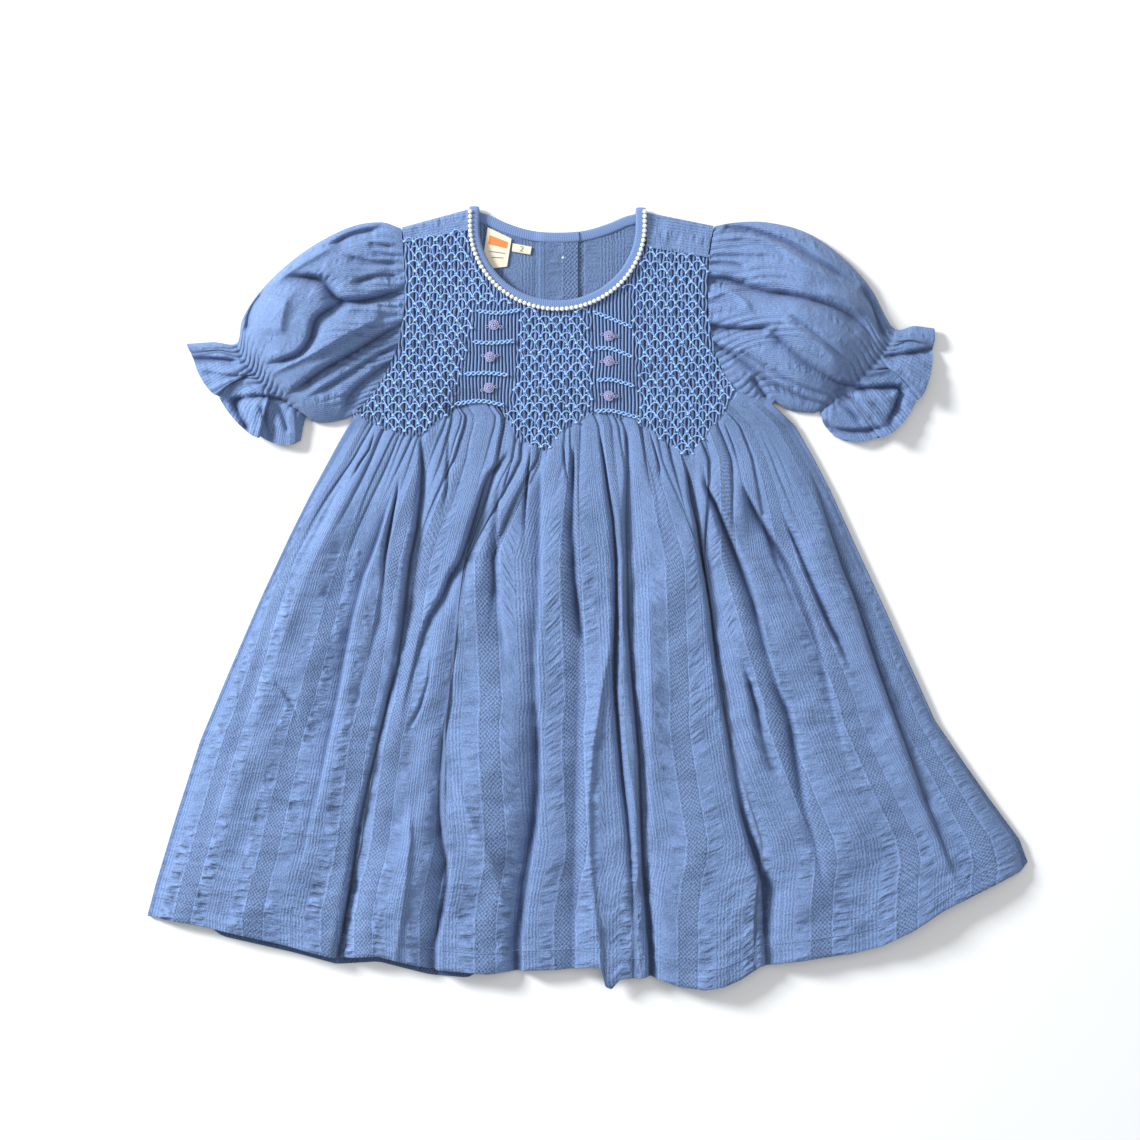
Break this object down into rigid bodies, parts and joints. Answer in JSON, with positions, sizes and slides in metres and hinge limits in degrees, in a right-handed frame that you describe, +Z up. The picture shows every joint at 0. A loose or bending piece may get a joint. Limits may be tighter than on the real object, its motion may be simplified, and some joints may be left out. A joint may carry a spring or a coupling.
{
  "type": "smocked child's dress laid flat",
  "caption": "Child's blue cotton dress with honeycomb-smocked front, bound round neck, gathered skirt and short puff sleeves with frilled elastic cuffs, laid flat.",
  "frame": {"origin": "on the surface the dress lies on, under the middle of its outline", "axes": "+X across the dress towards the sleeve on the right of the picture, +Y from hem to neck, +Z up from the surface, through the back to the front"},
  "size_m": [0.546, 0.4847, 0.022],
  "materials": {
    "blue_cotton": "soft crinkled woven cotton, matt, with fine self-coloured stripes",
    "blue_cotton_inside": "wrong side of the same cotton, slightly greyer",
    "cream_tape": "smooth woven tape",
    "white_button": "pearly white"
  },
  "bodies": {
    "root": {"front": "blue_cotton", "back_bodice_left": "blue_cotton_inside", "back_bodice_right": "blue_cotton_inside", "back_skirt": "blue_cotton_inside", "sleeve_left": "blue_cotton", "sleeve_right": "blue_cotton", "neck_binding": "blue_cotton", "label": "cream_tape", "size_tab": "cream_tape", "button_1": "white_button", "button_2": "white_button", "button_3": "white_button"}
  },
  "joints": []
}
